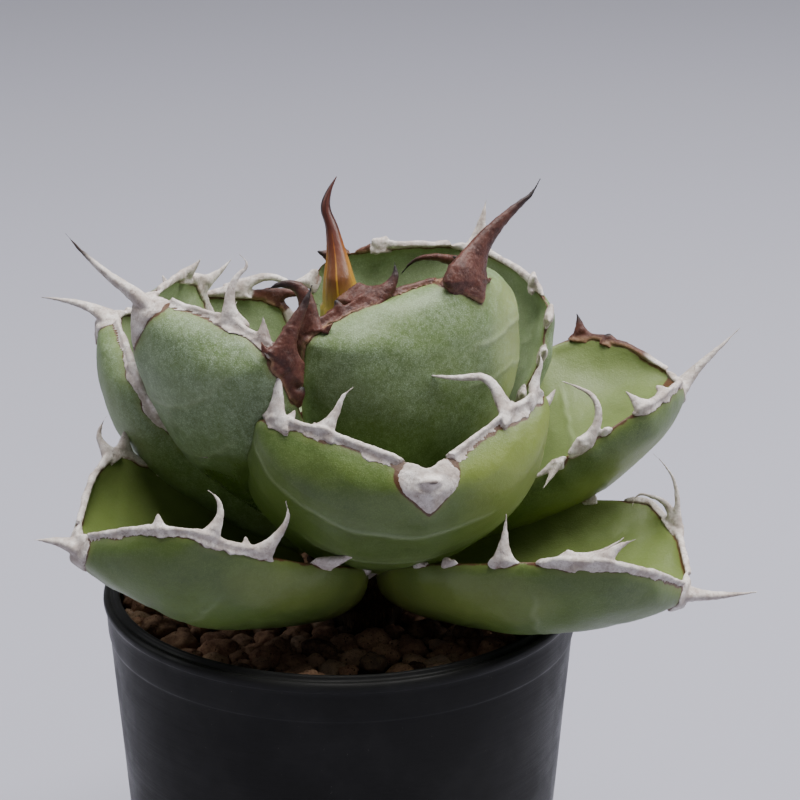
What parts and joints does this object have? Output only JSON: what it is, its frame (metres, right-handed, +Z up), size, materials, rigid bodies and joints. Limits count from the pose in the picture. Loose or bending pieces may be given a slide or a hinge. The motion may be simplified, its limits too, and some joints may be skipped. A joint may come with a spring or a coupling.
{
  "type": "potted agave plant",
  "caption": "Compact rosette of thick keeled succulent leaves with horny toothed edges and long spines, in a round tapered nursery pot of gritty mix.",
  "frame": {"origin": "middle of the pot's foot, on the surface that the pot stands on", "axes": "+Z up along the pot's axis; -Y is the side that the most open leaf faces"},
  "size_m": [0.1296, 0.1219, 0.1641],
  "materials": {
    "pot": "satin",
    "soil": "matte",
    "grain_red": "matte",
    "grain_tan": "matte",
    "grain_dark": "matte",
    "stem": "matte",
    "leaf": "satin",
    "leaf_young": "satin",
    "leaf_bud": "satin"
  },
  "bodies": {
    "root": {"grain_01": "grain_tan", "grain_02": "grain_dark", "grain_03": "grain_red", "grain_04": "grain_tan", "grain_05": "grain_dark", "grain_06": "grain_red", "grain_07": "grain_tan", "grain_08": "grain_dark", "grain_09": "grain_red", "grain_10": "grain_tan", "grain_11": "grain_dark", "grain_12": "grain_red", "grain_13": "grain_tan", "grain_14": "grain_dark", "grain_15": "grain_red", "grain_16": "grain_tan", "grain_17": "grain_dark", "grain_18": "grain_red", "grain_19": "grain_tan", "grain_20": "grain_dark", "grain_21": "grain_red", "grain_22": "grain_tan", "grain_23": "grain_dark", "grain_24": "grain_red", "grain_25": "grain_tan", "grain_26": "grain_dark", "leaf_01": "leaf", "leaf_02": "leaf", "leaf_03": "leaf", "leaf_04": "leaf", "leaf_05": "leaf", "leaf_06": "leaf", "leaf_07": "leaf", "leaf_08": "leaf", "leaf_09": "leaf", "leaf_10": "leaf_young", "leaf_11": "leaf_bud", "pot": "pot", "soil": "soil", "stem": "stem"}
  },
  "joints": []
}
